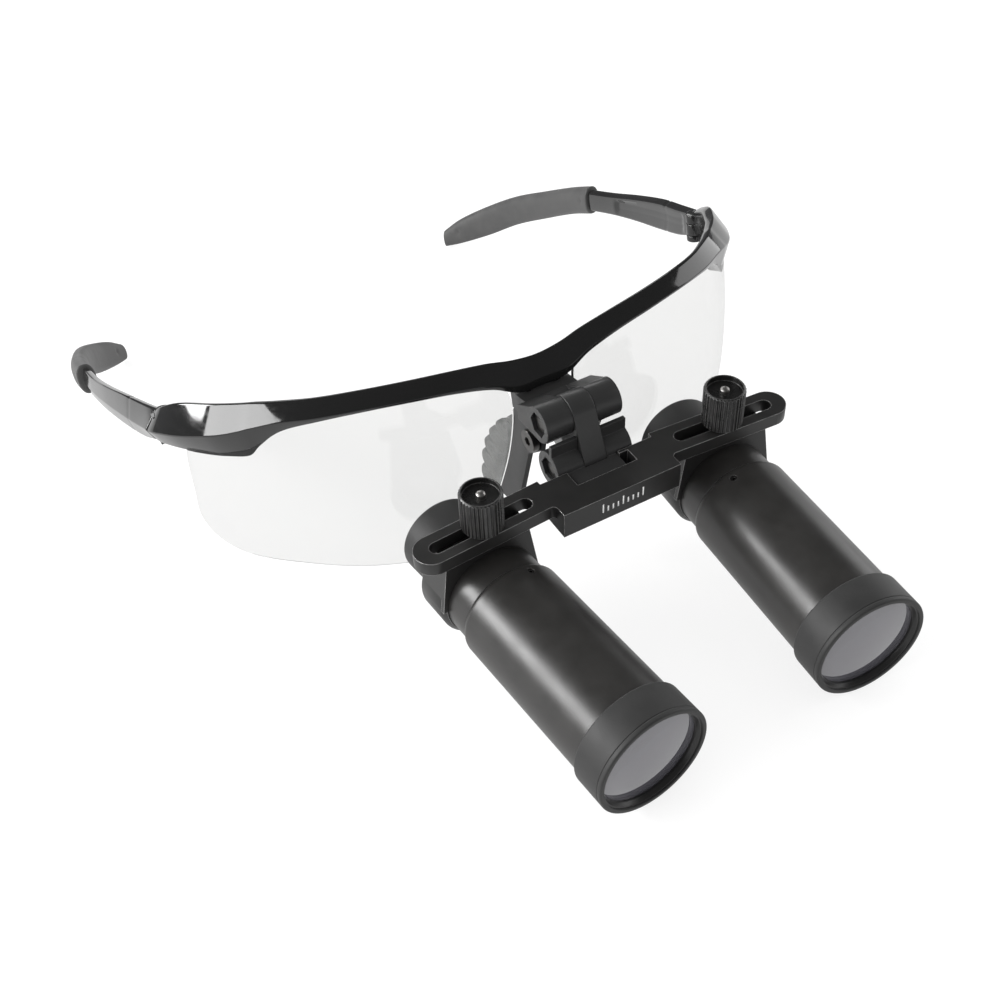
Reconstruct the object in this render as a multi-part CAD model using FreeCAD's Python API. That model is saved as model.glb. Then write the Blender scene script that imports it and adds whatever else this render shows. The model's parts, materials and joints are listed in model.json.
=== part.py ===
"""Dental loupes: a flip-up pair of magnifying telescopes on a half-rim spectacle frame.

Millimetres and degrees. The loupes stand on a table, on the two objective caps and the tips of
the temples. The finished origin is the point of the table under the middle of the whole, +X is
the wearer's left, +Y points from the telescopes back to the wearer and +Z is up.

Pieces are drawn about the middle of the line between the two thumb knobs on the crossbar's top:
the optics unit level and then leaned by UNIT_LEAN, the spectacles as they stand. The last lines
move everything to the finished origin.
"""
import FreeCAD, Part
import math
import os

Vector = FreeCAD.Vector
ORIGIN = Vector(0, 0, 0)
X_AXIS = Vector(1, 0, 0)
Y_AXIS = Vector(0, 1, 0)
Z_AXIS = Vector(0, 0, 1)

# Optics unit
UNIT_LEAN = 11.2            # the unit's nose-down lean when the loupes stand on a table
STANCE = Vector(0, 78.5, -38.95)  # the finished origin, from the middle of the line between the knobs
HALF_PD = 30.0              # half the distance between the two thumb knobs
ARM_SWEEP = 3.58            # each crossbar arm is swept forward, nearly square to its telescope
CONVERGENCE = 4.35          # each telescope turns in towards the working point
BARREL_RISE = 1.8           # telescope axis rises towards the objective, against the crossbar

# Crossbar
BLOCK_HALF = 14.56          # half the width of the thick centre block
BLOCK_FRONT = -6.66
BLOCK_BACK = 3.9
BLOCK_THICK = 6.45
ARM_HALF = 4.02             # half the width of an arm
ARM_THICK = 3.25
ARM_BEYOND = 16.1           # arm's end beyond the knob axis
ARM_INNER = 13.8            # where an arm leaves the centre block
SLOT_HALF = 1.6             # half the width of a slot
SLOT_INNER = 11.97          # slot's inner end from the knob axis
SLOT_OUTER = 12.6           # slot's outer end from the knob axis
POCKET_HALF = 7.45          # pocket for the bracket's tongue
POCKET_FRONT = -0.5
POCKET_DEPTH = 4.7
POCKET_OPEN = 5.3           # the pocket is open at the back up to here, and walled beyond
POCKET_WALL = 0.8
ARM_FILLET = 1.1            # hollow round where an arm meets the centre block

# Thumb screw
KNOB_R = 4.6
KNOB_H = 9.5
KNOB_RIDGES = 34
KNURL_DEPTH = 0.28
KNOB_DISH_R = 4.0
KNOB_DISH_DEPTH = 1.4
STUD_R = 1.5                # the part that runs in the slot and screws into the carriage
STUD_TIP_R = 1.0            # M2, the part that carries the knob
STUD_TOP = 9.5
STUD_BOTTOM = -7.6

# Two-axis flip hinge, level frame: the upper axis is on the spectacles, the lower on the crossbar
FLIP_Y, FLIP_Z = 12.5, 7.9
TILT_Y, TILT_Z = 8.2, -1.5
KNUCKLE_R = 4.2
KNUCKLE_IN = 2.87           # inner face of a knuckle from the middle
KNUCKLE_OUT = 9.3
LINK_HALF = 2.77
LINK_R = 4.35
HINGE_BORE = 1.3
LINK_BORE = 1.32
BOLT_R = 1.25               # M2.5
BOLT_HEAD_R = 2.25
BOLT_HEAD_L = 2.2
NUT_FLATS = 5.0
NUT_THICK = 2.0
NUT_POCKET = 3.0
RIB_FRONT, RIB_BACK, RIB_TOP = -1.2, -0.2, 6.8  # a stop rib, from the lower axis

# Telescope, stations along its axis from the point under the knob, forwards positive
BARREL_X = 30.3
BARREL_Z = -17.44
EYECUP_BACK = -18.3
EYEPIECE_R = 9.0
EYECUP_R = 9.4
HOLDER_BACK, HOLDER_FRONT = -6.3, 2.5
HOLDER_R = 12.1
HOLDER_TOP_HALF = 9.6
NECK_R = 10.9
TUBE_BACK = 9.2
TUBE_R = 11.86
TUBE_FRONT = 55.6
TUBE_BORE = 10.2
SPIGOT_R = 9.7
NECK_BORE = 8.6
CAP_BACK, CAP_FRONT = 49.0, 57.26
CAP_R = 12.76
LENS_SEAT = 51.0
LENS_R = 10.9
RING_APERTURE = 10.4
FIT = 0.04                  # radial gap between pieces that are screwed or glued together
GAP = 0.05                  # face gap between pieces that touch

# Spectacle frame, table frame
LENS_MID_Y = 25.0           # lens surface at the nose
LENS_WRAP_2, LENS_WRAP_4 = 6.0, 22.0    # wrap of the lens surface at WRAP_X to either side
WRAP_X = 70.0
LENS_BOW = 0.005            # upright bow of the lens surface
LENS_BOW_Z = 4.0            # height at which the lens stands farthest forward
LENS_THICK = 1.6
TEMPLE_AXIS = (74.1, 70.6)  # plan position of a temple's hinge pin
LUG_R = 2.2
LUG_CLEAR = 2.4
LUG_LOW, LUG_HIGH = 7.0, 10.2   # heights of the temple's own lug
PIN_R = 0.8
SEAM_Y = 70.2               # frame's end face; the temple starts SEAM_GAP behind it
SEAM_GAP = 0.6


def cylinder(radius, start, end):
    """Solid cylinder between two points."""
    along = Vector(end) - Vector(start)
    return Part.makeCylinder(radius, along.Length, Vector(start), along)


def box(x_range, y_range, z_range):
    corner = Vector(x_range[0], y_range[0], z_range[0])
    sizes = [high - low for low, high in (x_range, y_range, z_range)]
    return Part.makeBox(*sizes, corner)


def turned(points):
    """Solid of revolution about Z. A point is (radius, station); a point of four numbers is the
    end of an arc, with the arc's middle point after it."""
    edges = []
    closed = points + [points[0]]
    for here, there in zip(closed, closed[1:]):
        start = Vector(here[0], 0, here[1])
        end = Vector(there[0], 0, there[1])
        if len(there) == 4:
            edges.append(Part.Arc(start, Vector(there[2], 0, there[3]), end).toShape())
        else:
            edges.append(Part.makeLine(start, end))
    return Part.Face(Part.Wire(edges)).revolve(ORIGIN, Z_AXIS, 360)


def sleeve(outer, inner, back, front):
    return turned([(inner, back), (outer, back), (outer, front), (inner, front)])


def cap(radius, bulge):
    """Spherical bulge above the base plane: a ball cut by the rim's plane. The ball lies with its poles to
    the sides and its seam below, so that the bulge is one smooth face."""
    ball_r = (radius ** 2 + bulge ** 2) / (2 * bulge)
    ball = Part.makeSphere(ball_r, Vector(0, 0, bulge - ball_r), X_AXIS * -1)
    return ball.common(Part.makeCylinder(radius + 1, bulge + 1))


def extruded(points, depth):
    """Solid from a closed outline of straight lines."""
    corners = [Vector(p) for p in points]
    return Part.Face(Part.makePolygon(corners + corners[:1])).extrude(Vector(depth))


def hexagon(flats, start, end):
    """Hexagonal bar along X."""
    radius = flats / math.sqrt(3)
    angles = [math.radians(60 * i) for i in range(6)]
    x, y, z = start
    corners = [(x, y + radius * math.cos(a), z + radius * math.sin(a)) for a in angles]
    return extruded(corners, (end - x, 0, 0))


def fused(first, *others):
    return first.fuse(list(others)).removeSplitter()


def leaned(shape):
    """Carries a shape from the level frame of the optics unit to the table frame."""
    result = shape.copy()
    result.rotate(ORIGIN, X_AXIS, UNIT_LEAN)
    return result


def mirrored(shape):
    return shape.mirror(ORIGIN, X_AXIS)


# ---------------------------------------------------------------- crossbar

def arm_point(sign, outward, aside=0.0, z=0.0):
    """Point on an arm, by its distance outward from the knob axis and aside towards the wearer."""
    sweep = math.radians(ARM_SWEEP)
    x = HALF_PD + outward * math.cos(sweep) + aside * math.sin(sweep)
    y = -outward * math.sin(sweep) + aside * math.cos(sweep)
    return Vector(sign * x, y, z)


def rounded_strip(sign, inner, outer, half, z_low, z_high, inner_round):
    """Strip along an arm with a full round at its outer end, and at its inner end if asked."""
    strip = [arm_point(sign, inner, half, z_low), arm_point(sign, outer, half, z_low),
             arm_point(sign, outer, -half, z_low), arm_point(sign, inner, -half, z_low)]
    up = (0, 0, z_high - z_low)
    pieces = [cylinder(half, arm_point(sign, outer, 0, z_low), arm_point(sign, outer, 0, z_high))]
    if inner_round:
        pieces.append(cylinder(half, arm_point(sign, inner, 0, z_low), arm_point(sign, inner, 0, z_high)))
    return fused(extruded(strip, up), *pieces)


def bar_screw_places():
    return [(-4.6, 1.7), (2.4, 1.7)]


def front_corners(bar, sign):
    """Upright hollow corners between an arm's front side and the centre block."""
    found = []
    for edge in bar.Edges:
        middle = edge.CenterOfMass
        upright = abs(edge.Length - ARM_THICK) < 0.001
        if upright and abs(middle.x - sign * BLOCK_HALF) < 0.01 and BLOCK_FRONT + 1 < middle.y < 0:
            found.append(edge)
    return found


def crossbar():
    bar = box((-BLOCK_HALF, BLOCK_HALF), (BLOCK_FRONT, BLOCK_BACK), (-BLOCK_THICK, 0))
    for sign in (1, -1):
        outer = ARM_BEYOND - ARM_HALF
        inner = ARM_INNER - HALF_PD
        bar = fused(bar, rounded_strip(sign, inner, outer, ARM_HALF, -ARM_THICK, 0, False))
        bar = bar.makeFillet(ARM_FILLET, front_corners(bar, sign))
        slot_in = SLOT_HALF - SLOT_INNER
        slot_out = SLOT_OUTER - SLOT_HALF
        bar = bar.cut(rounded_strip(sign, slot_in, slot_out, SLOT_HALF, -ARM_THICK - 1, 1, True))
    pocket = box((-POCKET_HALF, POCKET_HALF), (POCKET_FRONT, BLOCK_BACK - POCKET_WALL), (-POCKET_DEPTH, 1))
    opening = box((-POCKET_HALF, POCKET_OPEN), (POCKET_FRONT, BLOCK_BACK + 2), (-POCKET_DEPTH, 1))
    bar = bar.cut(pocket).cut(opening)
    for x, y in bar_screw_places():
        bar = bar.cut(cylinder(1.05, (x, y, -BLOCK_THICK - 1), (x, y, 0)))
        bar = bar.cut(cylinder(1.8, (x, y, -BLOCK_THICK - 1), (x, y, -BLOCK_THICK + 1.0)))
    return bar


def bar_screws():
    screws = []
    for x, y in bar_screw_places():
        head = cylinder(1.7, (x, y, -BLOCK_THICK + 0.05), (x, y, -BLOCK_THICK + 0.95))
        shank = cylinder(1.0, (x, y, -BLOCK_THICK + 0.9), (x, y, -1.6))
        socket = hexagon(1.3, (0, 0, 0), 0.6)
        socket.rotate(ORIGIN, Y_AXIS, -90)
        socket.translate(Vector(x, y, -BLOCK_THICK))
        screws.append(fused(head, shank).cut(socket))
    return Part.makeCompound(screws)


# ---------------------------------------------------------------- flip hinge

def hinge_bores(y, z):
    """Everything cut from a pair of knuckles: bolt bore, head counterbore and hex pocket."""
    bore = cylinder(HINGE_BORE, (-KNUCKLE_OUT - 1, y, z), (KNUCKLE_OUT + 1, y, z))
    head = cylinder(BOLT_HEAD_R + 0.1, (KNUCKLE_OUT - BOLT_HEAD_L - 0.5, y, z), (KNUCKLE_OUT + 1, y, z))
    pocket = hexagon(NUT_FLATS + 0.12, (-KNUCKLE_OUT - 1, y, z), -KNUCKLE_OUT + NUT_POCKET)
    return [bore, head, pocket]


def hinge_bolt(y, z):
    head_in = KNUCKLE_OUT - BOLT_HEAD_L - 0.45
    head = cylinder(BOLT_HEAD_R, (head_in, y, z), (head_in + BOLT_HEAD_L, y, z))
    shank = cylinder(BOLT_R, (-KNUCKLE_OUT + 0.7, y, z), (head_in + 0.1, y, z))
    socket = hexagon(2.0, (head_in + 0.9, y, z), head_in + BOLT_HEAD_L + 1)
    return fused(head, shank).cut(socket)


def hinge_nut(y, z):
    inner = -KNUCKLE_OUT + NUT_POCKET - GAP
    nut = hexagon(NUT_FLATS, (inner - NUT_THICK, y, z), inner)
    return nut.cut(cylinder(BOLT_R + 0.01, (-KNUCKLE_OUT - 1, y, z), (0, y, z)))


def teardrop(x_range):
    """Ear of the frame-side bracket: a round knuckle that tails back towards the bridge."""
    low, high = x_range
    angle = math.radians(75)
    top = (FLIP_Y + KNUCKLE_R * math.cos(angle), FLIP_Z + KNUCKLE_R * math.sin(angle))
    outline = [(low, top[0], top[1]), (low, FLIP_Y + 8.4, FLIP_Z - 0.4),
               (low, FLIP_Y + 8.4, FLIP_Z - 4.4), (low, FLIP_Y, FLIP_Z - KNUCKLE_R),
               (low, FLIP_Y, FLIP_Z)]
    ear = cylinder(KNUCKLE_R, (low, FLIP_Y, FLIP_Z), (high, FLIP_Y, FLIP_Z))
    return fused(ear, extruded(outline, (high - low, 0, 0)))


CARRIER_Y, CARRIER_Z = 18.4, 1.9    # cross bolt of the nose pad carrier, table frame
CARRIER_LUG_HALF = 4.4
CARRIER_LUG_R = 2.2
CARRIER_BOLT_R = 1.25
BRIDGE_SCREW_X, BRIDGE_SCREW_Y = 3.6, 25.0


def flip_bracket():
    ears = [teardrop((KNUCKLE_IN, KNUCKLE_OUT)), teardrop((-KNUCKLE_OUT, -KNUCKLE_IN))]
    web = box((-KNUCKLE_OUT, KNUCKLE_OUT), (FLIP_Y + 5.2, FLIP_Y + 8.4), (FLIP_Z - 4.2, FLIP_Z - 0.4))
    level = fused(ears[0], ears[1], web)
    for tool in hinge_bores(FLIP_Y, FLIP_Z):
        level = level.cut(tool)
    foot = box((-6.8, 6.8), (CARRIER_Y - CARRIER_LUG_R, 27.2), (6.0, 10.3))
    lug = box((-CARRIER_LUG_HALF, CARRIER_LUG_HALF), (CARRIER_Y - CARRIER_LUG_R, CARRIER_Y + CARRIER_LUG_R),
              (CARRIER_Z, 7.0))
    nose = cylinder(CARRIER_LUG_R, (-CARRIER_LUG_HALF, CARRIER_Y, CARRIER_Z),
                    (CARRIER_LUG_HALF, CARRIER_Y, CARRIER_Z))
    bracket = fused(leaned(level), foot, lug, nose)
    bracket = bracket.cut(cylinder(CARRIER_BOLT_R + FIT, (-9, CARRIER_Y, CARRIER_Z), (9, CARRIER_Y, CARRIER_Z)))
    for x in (-BRIDGE_SCREW_X, BRIDGE_SCREW_X):
        bracket = bracket.cut(cylinder(1.05, (x, BRIDGE_SCREW_Y, 5), (x, BRIDGE_SCREW_Y, 12)))
        bracket = bracket.cut(cylinder(1.85, (x, BRIDGE_SCREW_Y, 5), (x, BRIDGE_SCREW_Y, 7.2)))
    return bracket


def bracket_screws():
    screws = []
    for x in (-BRIDGE_SCREW_X, BRIDGE_SCREW_X):
        head = cylinder(1.75, (x, BRIDGE_SCREW_Y, 6.1), (x, BRIDGE_SCREW_Y, 7.15))
        shank = cylinder(1.0, (x, BRIDGE_SCREW_Y, 7.1), (x, BRIDGE_SCREW_Y, 13.4))
        screws.append(fused(head, shank))
    return Part.makeCompound(screws)


def flip_link():
    """Flat-sided link around both hinge axes."""
    ends = [cylinder(LINK_R, (-LINK_HALF, y, z), (LINK_HALF, y, z))
            for y, z in ((FLIP_Y, FLIP_Z), (TILT_Y, TILT_Z))]
    along = Vector(0, TILT_Y - FLIP_Y, TILT_Z - FLIP_Z)
    aside = X_AXIS.cross(along)
    aside.normalize()
    start = Vector(-LINK_HALF, FLIP_Y, FLIP_Z)
    corners = [start + aside * LINK_R, start + along + aside * LINK_R,
               start + along - aside * LINK_R, start - aside * LINK_R]
    link = fused(extruded(corners, (2 * LINK_HALF, 0, 0)), *ends)
    for y, z in ((FLIP_Y, FLIP_Z), (TILT_Y, TILT_Z)):
        link = link.cut(cylinder(LINK_BORE, (-9, y, z), (9, y, z)))
    return link


def bar_bracket():
    """Crossbar's half of the hinge: two knuckles with stop ribs, and a tongue into the bar."""
    parts = []
    for low, high in ((KNUCKLE_IN, KNUCKLE_OUT), (-KNUCKLE_OUT, -KNUCKLE_IN)):
        parts.append(cylinder(KNUCKLE_R, (low, TILT_Y, TILT_Z), (high, TILT_Y, TILT_Z)))
        parts.append(box((low, high), (TILT_Y + RIB_FRONT, TILT_Y + RIB_BACK), (TILT_Z, TILT_Z + RIB_TOP)))
    parts.append(box((-7.1, 5.1), (POCKET_FRONT + 0.15, TILT_Y), (-POCKET_DEPTH + GAP, -0.6)))
    bracket = fused(*parts)
    bracket = bracket.cut(cylinder(LINK_R + 0.2, (-KNUCKLE_IN, TILT_Y, TILT_Z), (KNUCKLE_IN, TILT_Y, TILT_Z)))
    for tool in hinge_bores(TILT_Y, TILT_Z):
        bracket = bracket.cut(tool)
    for x, y in bar_screw_places():
        bracket = bracket.cut(cylinder(1.02, (x, y, -6), (x, y, -1.3)))
    return bracket


# ---------------------------------------------------------------- telescopes

def barrel_placement(sign):
    """Puts the turning axis Z on the telescope's axis, with local Y up."""
    turn = math.radians(CONVERGENCE)
    rise = math.radians(BARREL_RISE)
    ahead = Vector(-sign * math.sin(turn) * math.cos(rise), -math.cos(turn) * math.cos(rise), math.sin(rise))
    side = Z_AXIS.cross(ahead)
    side.normalize()
    up = ahead.cross(side)
    matrix = FreeCAD.Matrix(side.x, up.x, ahead.x, sign * BARREL_X,
                            side.y, up.y, ahead.y, 0,
                            side.z, up.z, ahead.z, BARREL_Z,
                            0, 0, 0, 1)
    return FreeCAD.Placement(matrix)


def on_barrel(shape, sign):
    result = shape.copy()
    result.Placement = barrel_placement(sign)
    return result


def holder(sign):
    """Arched carriage under the arm that holds the telescope's neck."""
    ring = turned([(SPIGOT_R + FIT, HOLDER_BACK), (HOLDER_R, HOLDER_BACK), (HOLDER_R, HOLDER_FRONT - 1.2),
                   (HOLDER_R - 0.9, HOLDER_FRONT), (SPIGOT_R + FIT, HOLDER_FRONT)])
    top = 17.0
    outline = [(-HOLDER_R, 0, HOLDER_BACK), (HOLDER_R, 0, HOLDER_BACK),
               (HOLDER_TOP_HALF, top, HOLDER_BACK), (-HOLDER_TOP_HALF, top, HOLDER_BACK)]
    block = extruded(outline, (0, 0, HOLDER_FRONT - HOLDER_BACK))
    bore = Part.makeCylinder(SPIGOT_R + FIT, 20, Vector(0, 0, HOLDER_BACK - 5))
    carriage = on_barrel(fused(ring, block).cut(bore), sign)
    above = box((sign * HALF_PD - 30, sign * HALF_PD + 30), (-30, 30), (-ARM_THICK - GAP, 20))
    thread = cylinder(STUD_R + 0.01, (sign * HALF_PD, 0, STUD_BOTTOM - 0.3), (sign * HALF_PD, 0, 0))
    return carriage.cut(above).cut(thread)


def stud(sign):
    """Clamp screw: a thick lower part, and a thin domed upper part for the knob."""
    x = sign * HALF_PD
    shoulder = -0.2
    bulge = 0.5
    dome_start = STUD_TOP - bulge
    tip = cap(STUD_TIP_R, bulge)
    tip.translate(Vector(x, 0, dome_start))
    return fused(cylinder(STUD_R, (x, 0, STUD_BOTTOM), (x, 0, shoulder)),
                 cylinder(STUD_TIP_R, (x, 0, shoulder), (x, 0, dome_start)), tip)


def knob(sign):
    """Knurled thumb nut with a dished top."""
    points = []
    for index in range(2 * KNOB_RIDGES):
        angle = math.pi * index / KNOB_RIDGES
        radius = KNOB_R - KNURL_DEPTH * (index % 2)
        points.append((radius * math.cos(angle), radius * math.sin(angle), GAP))
    body = extruded(points, (0, 0, KNOB_H))
    envelope = turned([(0, GAP), (KNOB_R - 0.4, GAP), (KNOB_R + 0.1, 0.6), (KNOB_R + 0.1, KNOB_H - 0.5),
                       (KNOB_R - 0.4, KNOB_H), (0, KNOB_H)])
    dish = Part.makeCylinder(KNOB_DISH_R, KNOB_H, Vector(0, 0, KNOB_H - KNOB_DISH_DEPTH))
    bore = Part.makeCylinder(STUD_TIP_R + 0.05, 3 * KNOB_H, Vector(0, 0, -KNOB_H))
    nut = body.common(envelope).cut(dish).cut(bore)
    nut.translate(Vector(sign * HALF_PD, 0, 0))
    return nut


def neck():
    return turned([(NECK_BORE, HOLDER_BACK), (SPIGOT_R, HOLDER_BACK), (SPIGOT_R, HOLDER_FRONT + GAP),
                   (NECK_R, HOLDER_FRONT + GAP), (NECK_R, TUBE_BACK - GAP), (TUBE_BORE - FIT, TUBE_BACK - GAP),
                   (TUBE_BORE - FIT, TUBE_BACK + 4.0), (NECK_BORE, TUBE_BACK + 4.0)])


SCREW_STATION = 12.0
SCREW_TURN = 20.0           # the set screw sits this far round from the top, towards the middle


def across_tube(sign, radius, start, end):
    piece = Part.makeCylinder(radius, end - start, Vector(0, start, SCREW_STATION), Y_AXIS)
    piece.rotate(ORIGIN, Z_AXIS, sign * SCREW_TURN)
    return piece


def main_tube(sign):
    shoulder = 1.5
    bend = shoulder * (1 - math.sqrt(0.5))
    profile = [(TUBE_BORE, TUBE_BACK), (TUBE_R - shoulder, TUBE_BACK),
               (TUBE_R, TUBE_BACK + shoulder, TUBE_R - bend, TUBE_BACK + bend),
               (TUBE_R, TUBE_FRONT), (LENS_R + 0.1, TUBE_FRONT), (LENS_R + 0.1, LENS_SEAT), (TUBE_BORE, LENS_SEAT)]
    return turned(profile).cut(across_tube(sign, 0.8, TUBE_BORE - 1, TUBE_R + 1))


def tube_set_screw(sign):
    screw = across_tube(sign, 0.75, TUBE_BORE + GAP, TUBE_R - 0.25)
    return screw.cut(across_tube(sign, 0.35, TUBE_R - 0.9, TUBE_R))


def objective_cap():
    """Rubber sleeve over the tube's front end, with rounded ends and a small front lip."""
    soft = 0.7
    bend = soft * (1 - math.sqrt(0.5))
    lip = 11.85
    grip = TUBE_R + FIT
    return turned([(grip, CAP_BACK), (CAP_R - soft, CAP_BACK),
                   (CAP_R, CAP_BACK + soft, CAP_R - bend, CAP_BACK + bend),
                   (CAP_R, CAP_FRONT - 0.4), (CAP_R - 0.4, CAP_FRONT), (lip, CAP_FRONT),
                   (lip - 0.3, CAP_FRONT - 0.3), (lip - 0.3, CAP_FRONT - 0.35), (grip, CAP_FRONT - 0.35)])


def retaining_ring():
    """Screwed ring that holds the objective, with a conical face."""
    front = CAP_FRONT - 0.4
    return turned([(RING_APERTURE, LENS_SEAT + 3.5), (LENS_R + 0.05, LENS_SEAT + 3.5),
                   (LENS_R + 0.05, TUBE_FRONT + GAP), (TUBE_R - FIT, TUBE_FRONT + GAP), (TUBE_R - FIT, front),
                   (TUBE_R - 0.35, front), (RING_APERTURE, front - 1.5)])


def biconvex(radius, back, edge, bulge_back, bulge_front):
    """Lens with spherical faces inside a flat rim."""
    clear = radius - 1.2
    ahead = cap(clear, bulge_front)
    ahead.translate(Vector(0, 0, back + edge))
    behind = cap(clear, bulge_back).mirror(ORIGIN, Z_AXIS)
    behind.translate(Vector(0, 0, back))
    return fused(Part.makeCylinder(radius, edge, Vector(0, 0, back)), ahead, behind)


def prism_cell():
    """Round carrier with a square window for the roof prism."""
    cell = sleeve(TUBE_BORE - 0.1, 3.0, 16.0, 34.0)
    return cell.cut(box((-6.6, 6.6), (-6.6, 6.6), (18.0, 32.0)))


def roof_prism():
    """Roof prism block: a glass body with two slanted end faces."""
    outline = [(-6.4, -6.4, 18.2), (-6.4, -6.4, 29.0), (-6.4, -2.0, 31.8), (-6.4, 6.4, 31.8),
               (-6.4, 6.4, 21.0), (-6.4, 2.0, 18.2)]
    return extruded(outline, (12.8, 0, 0))


def eyepiece_body():
    return turned([(7.6, -12.5), (EYEPIECE_R, -12.5), (EYEPIECE_R, HOLDER_BACK - GAP),
                   (NECK_BORE - FIT, HOLDER_BACK - GAP), (NECK_BORE - FIT, -2.0), (6.6, -2.0),
                   (6.6, -7.0), (7.6, -7.0)])


def eyecup():
    """Rubber eyecup on the back of the eyepiece."""
    soft = 1.3
    bend = soft * (1 - math.sqrt(0.5))
    back = EYECUP_BACK
    return turned([(7.8, back), (EYECUP_R - soft, back),
                   (EYECUP_R, back + soft, EYECUP_R - bend, back + bend),
                   (EYECUP_R, -9.5), (EYEPIECE_R + FIT, -9.5), (EYEPIECE_R + FIT, -12.6), (7.8, -12.6)])


def telescope(sign):
    """All pieces of one telescope that are round about its axis, by name."""
    pieces = {
        "neck": neck(),
        "main_tube": main_tube(sign),
        "tube_set_screw": tube_set_screw(sign),
        "objective_cap": objective_cap(),
        "retaining_ring": retaining_ring(),
        "objective_lens": biconvex(LENS_R, LENS_SEAT + GAP, 3.3, 1.4, 0.9),
        "field_stop": sleeve(TUBE_BORE - 0.1, 7.4, 43.0, 44.5),
        "prism_cell": prism_cell(),
        "roof_prism": roof_prism(),
        "eyepiece_body": eyepiece_body(),
        "eyepiece_lens": biconvex(7.5, -11.6, 2.4, 0.6, 1.2),
        "eyepiece_ring": sleeve(7.55, 6.4, -12.45, -11.75),
        "eyecup": eyecup(),
    }
    pieces = {name: on_barrel(shape, sign) for name, shape in pieces.items()}
    pieces["barrel_holder"] = holder(sign)
    pieces["clamp_stud"] = stud(sign)
    pieces["thumb_knob"] = knob(sign)
    return pieces


# ---------------------------------------------------------------- spectacles

def lens_y(x, z):
    """Depth of the lens surface: wrapped round the face and bowed upright."""
    across = (x / WRAP_X) ** 2
    return LENS_MID_Y + LENS_WRAP_2 * across + LENS_WRAP_4 * across ** 2 + LENS_BOW * (z - LENS_BOW_Z) ** 2


def lens_slab(half_thick):
    """Curved sheet that a lens is cut from, for the wearer's left side."""
    wires = []
    for z in (-32.0, -20.0, -8.0, 4.0, 14.0, 24.0):
        xs = [4.0 + 12.0 * i for i in range(7)]
        front = Part.BSplineCurve()
        front.interpolate([Vector(x, lens_y(x, z) - half_thick, z) for x in xs])
        back = Part.BSplineCurve()
        back.interpolate([Vector(x, lens_y(x, z) + half_thick, z) for x in xs])
        ends = [Part.makeLine(front.EndPoint, back.EndPoint), Part.makeLine(back.StartPoint, front.StartPoint)]
        wires.append(Part.Wire([front.toShape(), ends[0], back.toShape(), ends[1]]))
    return Part.makeLoft(wires, True, False)


LENS_OUTLINE = [(8.0, 9.0), (11.5, 15.0), (22.0, 18.0), (40.0, 19.6), (56.0, 18.6), (68.0, 15.5), (73.0, 9.0),
                (74.2, -4.0), (74.0, -14.0), (69.0, -20.6), (57.0, -22.6), (42.0, -25.8), (28.0, -28.0),
                (19.0, -25.0), (14.0, -14.0), (9.8, -2.0)]


def lens_blank(grow):
    """Upright prism with the lens's outline, grown outwards by a margin at the top edge."""
    points = [Vector(x, 0, z + (grow if z > 14 else 0)) for x, z in LENS_OUTLINE]
    curve = Part.BSplineCurve()
    curve.interpolate(points, PeriodicFlag=True)
    return Part.Face(Part.Wire([curve.toShape()])).extrude(Vector(0, 110, 0))


def spectacle_lens():
    return lens_slab(LENS_THICK / 2).common(lens_blank(0.0))


def section(centre, ahead, half_width, half_height, power=2.6, count=16):
    """Closed rounded section square to a direction in plan, as a superellipse."""
    ahead = Vector(ahead.x, ahead.y, 0)
    ahead.normalize()
    side = Vector(-ahead.y, ahead.x, 0)
    points = []
    for index in range(count):
        angle = 2 * math.pi * (index + 0.5) / count
        across = math.copysign(abs(math.cos(angle)) ** (2 / power), math.cos(angle))
        upward = math.copysign(abs(math.sin(angle)) ** (2 / power), math.sin(angle))
        points.append(centre + side * (half_width * across) + Z_AXIS * (half_height * upward))
    curve = Part.BSplineCurve()
    curve.interpolate(points, PeriodicFlag=True)
    return Part.Wire([curve.toShape()])


def swept(stations, power=2.6):
    """Smooth solid through sections. A station is (x, y, bottom z, top z, thickness)."""
    middles = [Vector(x, y, (low + high) / 2) for x, y, low, high, _ in stations]
    wires = []
    for index, station in enumerate(stations):
        before = middles[max(index - 1, 0)]
        after = middles[min(index + 1, len(stations) - 1)]
        half_height = (station[3] - station[2]) / 2
        wires.append(section(middles[index], after - before, station[4] / 2, half_height, power))
    return Part.makeLoft(wires, True, False)


# Front frame, half: plan position, lower and upper edge, thickness
BROW = [(0.0, 25.0, 10.6, 17.2, 3.7), (6.0, 25.1, 10.8, 17.8, 3.7), (12.0, 25.5, 13.8, 19.0, 3.8),
        (20.0, 26.2, 15.8, 20.0, 3.9), (30.0, 27.4, 17.3, 20.9, 4.1), (40.0, 29.85, 17.9, 21.6, 4.2),
        (49.0, 33.7, 17.2, 21.7, 4.3), (56.0, 38.3, 15.2, 21.3, 4.3), (60.5, 42.1, 12.3, 20.9, 4.2),
        (64.0, 45.5, 9.0, 20.4, 4.2), (69.0, 51.6, 7.6, 19.4, 4.3), (73.5, 59.4, 6.8, 17.4, 4.5),
        (76.2, 66.8, 5.4, 14.6, 4.9), (76.6, SEAM_Y, 4.6, 13.6, 5.0)]

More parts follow.
